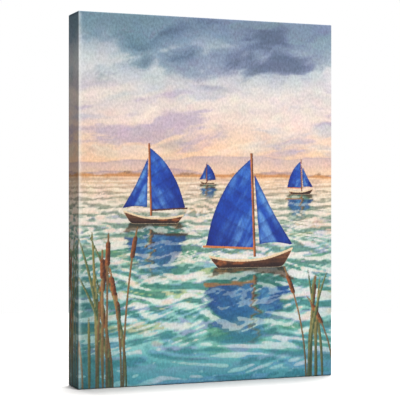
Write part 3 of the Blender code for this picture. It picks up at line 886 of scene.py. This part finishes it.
# The corner keys are sawn beech wedges, each of one length. Two are tapped into the slots of each inner
# corner, where they push the bars apart and draw the cloth tight.
BEECH_EARLY, BEECH_LATE = (0.62, 0.43, 0.26, 1), (0.50, 0.32, 0.18, 1)
BEECH_RING, BEECH_STOCK = 0.0016, 9.0
for height in ("top", "bottom"):
    for side in ("left", "right"):
        for way, along in (("across", "x"), ("upright", "z")):
            node = f"key_{height}_{side}_{way}"
            seed = 50.5 + 20 * (height == "top") + 10 * (side == "left") + 5 * (along == "x")
            cut = (along, middle_of(node, along), seed)
            finish = sawn_wood(f"beech_{node}", *cut, BEECH_EARLY, BEECH_LATE, BEECH_RING, BEECH_STOCK)
            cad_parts[node].material_slots[0].material = finish


# The staples are flat galvanized wire, bent to a crown with two legs and shot through the flaps into
# the bars. They are pressed down most in the middle.
WIRE_HALF_WIDE, WIRE_HALF_THICK = 0.00062, 0.00032
EIGHT_SIDED = 1.06
PRESSED_IN = 0.0002
WIRE_DULL, WIRE_BRIGHT = (0.34, 0.35, 0.37, 1), (0.46, 0.46, 0.46, 1)
# across the crown and above the flap, in millimetres
half_crown = array([
    (0.0, 0.20), (2.4, 0.24), (4.65, 0.30), (5.0, 0.22), (5.22, 0.0), (5.3, -0.35), (5.3, -1.3),
]) / 1000


def tube_of(path, first, second, outline):
    """Points of an outline carried along a path: each outline pair is counted along two side directions."""
    offsets = outline[None, :, :1] * first[:, None] + outline[None, :, 1:] * second[:, None]
    return path[:, None] + offsets


def tube_faces(steps, sides, looped=False):
    """Faces between neighbouring outlines of a tube, with an end face at both ends unless it is a loop."""
    index = np.arange(steps * sides).reshape(steps, sides)
    if looped:
        return skin(concatenate([index, index[:1]])).tolist(), []
    return skin(index).tolist(), [index[0].tolist(), index[-1][::-1].tolist()]


def shaped(name, finish, points, faces):
    """A piece that shades smooth but for its true edges, its faces turned outwards."""
    made = bpy.data.meshes.new(name)
    made.from_pydata(np.asarray(points).reshape(-1, 3).tolist(), [], faces)
    work = bmesh.new()
    work.from_mesh(made)
    bmesh.ops.recalc_face_normals(work, faces=work.faces)
    work.to_mesh(made)
    work.free()
    made.shade_smooth()
    made.set_sharp_from_angle(angle=radians(40))
    return add_piece(made, finish)


def plated(name, dull, bright, low_gloss, high_gloss):
    """Zinc plating: clouded between two tints, with a fine spangle in its gloss and relief."""
    made, tree, shader = finish_of(name, 0.34, metallic=1.0)
    spot = add_node(tree, "TexCoord").outputs["Object"]
    cloud = range_of(noise_of(spot, 260.0), 0.35, 0.65)
    spangle = noise_of(spot, 1500.0, 2.0)
    gloss = range_of(spangle, 0.3, 0.7, low_gloss, high_gloss)
    dress(shader, mixed(cloud, dull, bright), spangle, 0.00002, 0.4, gloss)
    return made


bend = concatenate([half_crown[:0:-1] * (-1, 1), half_crown])
along = np.gradient(bend, axis=0)
along /= np.linalg.norm(along, axis=1)[:, None]
turns = radians(np.arange(22.5, 360, 45))
wire = EIGHT_SIDED * abreast(WIRE_HALF_WIDE * cos(turns), WIRE_HALF_THICK * sin(turns))
quads, ends = tube_faces(len(bend), len(wire))
staple_points, staple_faces = [], []
for number, (x, z, turn) in enumerate(staples):
    crown = array([cos(turn), 0, sin(turn)])
    beside = array([[-sin(turn), 0, cos(turn)]])
    out = array([0, 1.0, 0])
    top = array([x, canvas_high.y - PRESSED_IN, z + HEIGHT / 2])
    path = top + bend[:, :1] * crown + bend[:, 1:] * out
    up = -along[:, 1:] * crown + along[:, :1] * out
    staple_points.append(tube_of(path, beside, up, wire))
    staple_faces += [[i + number * len(bend) * len(wire) for i in face] for face in quads + ends]

staple_wire = plated("staple_wire", WIRE_DULL, WIRE_BRIGHT, 0.26, 0.40)
staple_piece = shaped("flap_staples", staple_wire, staple_points, staple_faces)
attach(staple_piece, "picture")


# A ring hanger is screwed to each upright bar: a steel strap whose head is curled round a ring of bent
# wire, and a pan-head screw with a cross recess. The ring swings on the curl.
STRAP_HALF_WIDE, STRAP_THICK, STRAP_DROP = 0.0045, 0.001, 0.0225
STRAP_ROUNDED_WIDE, STRAP_ROUNDED_THICK = 0.0625, 0.5
CURL = 0.0013
WIRE, RING_HALF_WIDE, RING_LEG, RING_BEND = 0.001, 0.0068, 0.0028, 0.0018
SCREW_DROP, SCREW_SHANK, SHANK_DEPTH = 0.0165, 0.0014, 0.0009
SCREW_HEAD, HEAD_UNDER, HEAD_RIM, HEAD_DOME = 0.0029, 0.0027, 0.0006, 0.0010
RECESS_DEPTH, RECESS_LONG, RECESS_HALF = 0.0009, 0.0016, 0.00035
ZINC_DULL, ZINC_BRIGHT = (0.56, 0.57, 0.58, 1), (0.70, 0.70, 0.67, 1)
zinc = plated("bright_zinc", ZINC_DULL, ZINC_BRIGHT, 0.24, 0.46)


def cross_recess(across, up, height):
    """How deep the recess cuts the head's dome: two slots at right angles with tapered walls."""
    a, b = abs(across), abs(up)
    inside = maximum(minimum(RECESS_HALF - a, RECESS_LONG - b), minimum(RECESS_HALF - b, RECESS_LONG - a))
    return RECESS_DEPTH * ease(-0.00008, 0.00022, inside) * (height > HEAD_RIM + 0.0001)


def turned(name, finish, centre, profile, sides, recess):
    """A turned piece: pairs of radius and height carried round an axis that points at the wall. It starts
    and ends on the axis, and a recess, a depth over the two ways across and the height, is cut in it."""
    angles = linspace(0, 2 * pi, sides, endpoint=False)
    radius, height = profile[1:-1, :1], profile[1:-1, 1:]
    across, up = radius * cos(angles), radius * sin(angles)
    foot, tip = profile[0, 1], profile[-1, 1]
    body = abreast(across, height - recess(across, up, height), up).reshape(-1, 3)
    points = concatenate([body, [(0, foot, 0), (0, tip - recess(0.0, 0.0, tip), 0)]]) + centre
    quads, ends = tube_faces(len(profile) - 2, sides)
    fans = [
        [end[i], end[(i + 1) % sides], len(body) + pole]
        for pole, end in enumerate(ends)
        for i in range(sides)
    ]
    return shaped(name, finish, points, quads + fans)


for side in ("left", "right"):
    ring_low, ring_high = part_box(f"hanger_ring_{side}")
    middle_x = (ring_low.x + ring_high.x) / 2
    axis = array([middle_x, (ring_low.y + ring_high.y) / 2, ring_high.z - WIRE])
    seat_y = axis[1] - CURL

    # The ring: a straight top, two bends, two legs and a half circle. Centre across and up, radius, angles.
    shoulder = RING_HALF_WIDE - RING_BEND
    path, out = [], []
    for across, up, radius, first, last, steps in (
        (shoulder, -RING_BEND, RING_BEND, 90, 0, 9),
        (0.0, -RING_LEG, RING_HALF_WIDE, 0, -180, 37),
        (-shoulder, -RING_BEND, RING_BEND, 180, 90, 9),
    ):
        a = radians(linspace(first, last, steps))
        way = abreast(cos(a), 0, sin(a))
        path.append(array([across, 0, up]) + radius * way)
        out.append(way)
    path, out = concatenate(path) + axis, concatenate(out)
    turns = linspace(0, 2 * pi, 20, endpoint=False)
    points = tube_of(path, out, array([[0, 1.0, 0]]), WIRE * abreast(cos(turns), sin(turns)))
    quads, _ = tube_faces(len(path), len(turns), looped=True)
    ring_piece = shaped(f"wire_ring_{side}", zinc, points, quads)
    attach(ring_piece, f"ring_{side}")
    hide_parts(f"hanger_ring_{side}")

    # The strap: a rounded foot, a flat and three quarters of a turn round the ring, with rounded edges.
    foot = radians(linspace(88, 0, 12))
    foot_up = STRAP_HALF_WIDE - STRAP_DROP - STRAP_HALF_WIDE * sin(foot)
    straight = concatenate([foot_up, linspace(foot_up[-1], 0, 6)[1:]])
    curled = linspace(-90, 180, 40)[1:]
    turn = radians(concatenate([0 * straight - 90, curled]))
    curl_middle = CURL + STRAP_THICK / 2
    up = concatenate([straight, 0 * curled]) + curl_middle * cos(turn)
    path = abreast(middle_x, seat_y + CURL + curl_middle * sin(turn), axis[2] + up)
    half = STRAP_HALF_WIDE * concatenate([cos(foot), np.ones(len(turn) - len(foot))])
    outwards = STRAP_THICK / 2 * abreast(0, -sin(turn), -cos(turn))
    x, z = np.repeat([1, -1, -1, 1], 3), np.repeat([1, 1, -1, -1], 3)
    a = radians([0, 45, 90, 90, 45, 0] * 2)
    wide = x * (1 - STRAP_ROUNDED_WIDE * (1 - cos(a)))
    thick = z * (1 - STRAP_ROUNDED_THICK * (1 - sin(a)))
    points = tube_of(path, abreast(half, 0, 0), outwards, abreast(wide, thick))
    quads, ends = tube_faces(len(path), len(wide))
    strap_piece = shaped(f"curled_strap_{side}", zinc, points, quads + ends)
    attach(strap_piece, "picture")
    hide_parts(f"hanger_strap_{side}")

    # The screw: a short shank and a domed head.
    inwards = linspace(0, 1, 26)
    dome = abreast(SCREW_HEAD * (1 - inwards), HEAD_RIM + HEAD_DOME * np.sqrt(1 - (1 - inwards) ** 2))
    shank = [(0, -SHANK_DEPTH), (SCREW_SHANK, -SHANK_DEPTH), (SCREW_SHANK, 0)]
    profile = concatenate([shank, [(HEAD_UNDER, 0), (SCREW_HEAD, 0.0002)], dome])
    seat = array([middle_x, seat_y, axis[2] - SCREW_DROP])
    screw_piece = turned(f"strap_screw_{side}", zinc, seat, profile, sides=72, recess=cross_recess)
    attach(screw_piece, "picture")
    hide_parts(f"hanger_screw_{side}")


# The bumpers are moulded rubber: a flange and a tapered pad with a dished face. They stick on the bottom
# corners of the back and keep the picture off the wall.
FLANGE, FLANGE_RIM, FLANGE_TOP = 0.0052, 0.0003, 0.0008
PAD_FACE, PAD_SHOULDER = 0.0038, 0.0006
RUBBER_BLACK, RUBBER_DUSTY = (0.016, 0.016, 0.017, 1), (0.075, 0.072, 0.068, 1)
rubber, tree, shader = finish_of("moulded_rubber", 0.6, specular=0.4)
spot = add_node(tree, "TexCoord").outputs["Object"]
dust = noise_of(spot, 500.0, 4.0, 0.7)
pores = noise_of(spot, 3500.0, 2.0)
colour = mixed(range_of(dust, 0.45, 0.75), RUBBER_BLACK, RUBBER_DUSTY)
dress(shader, colour, pores, 0.00004, 0.5, range_of(dust, 0.35, 0.7, 0.5, 0.85))


def no_recess(across, up, height):
    """Nothing is cut."""
    return 0


for side in ("left", "right"):
    bumper_low, bumper_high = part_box(f"bumper_{side}")
    tall = bumper_high.y - bumper_low.y
    soft = radians(linspace(0, 90, 7))
    # radius and height: a flange with a rounded rim, a taper, a rounded shoulder and the dished face
    profile = concatenate([
        [(0, 0), (FLANGE, 0)],
        abreast(FLANGE + FLANGE_RIM * sin(soft), FLANGE_RIM * (1 - cos(soft)))[1:],
        abreast(FLANGE + FLANGE_RIM * cos(soft), FLANGE_TOP + FLANGE_RIM * sin(soft)),
        [(0.0049, 0.0012), (0.0047, 0.0015)],
        abreast(PAD_FACE + PAD_SHOULDER * cos(soft), tall - PAD_SHOULDER * (1 - sin(soft))),
        [(0.0034, tall), (0.0031, tall - 0.00012), (0.0026, tall - 0.0003)],
        [(0.0012, tall - 0.00036), (0, tall - 0.00036)],
    ])
    seat = array([(bumper_low.x + bumper_high.x) / 2, bumper_low.y, (bumper_low.z + bumper_high.z) / 2])
    bumper_piece = turned(f"rubber_bumper_{side}", rubber, seat, profile, sides=56, recess=no_recess)
    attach(bumper_piece, "picture")
    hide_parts(f"bumper_{side}")
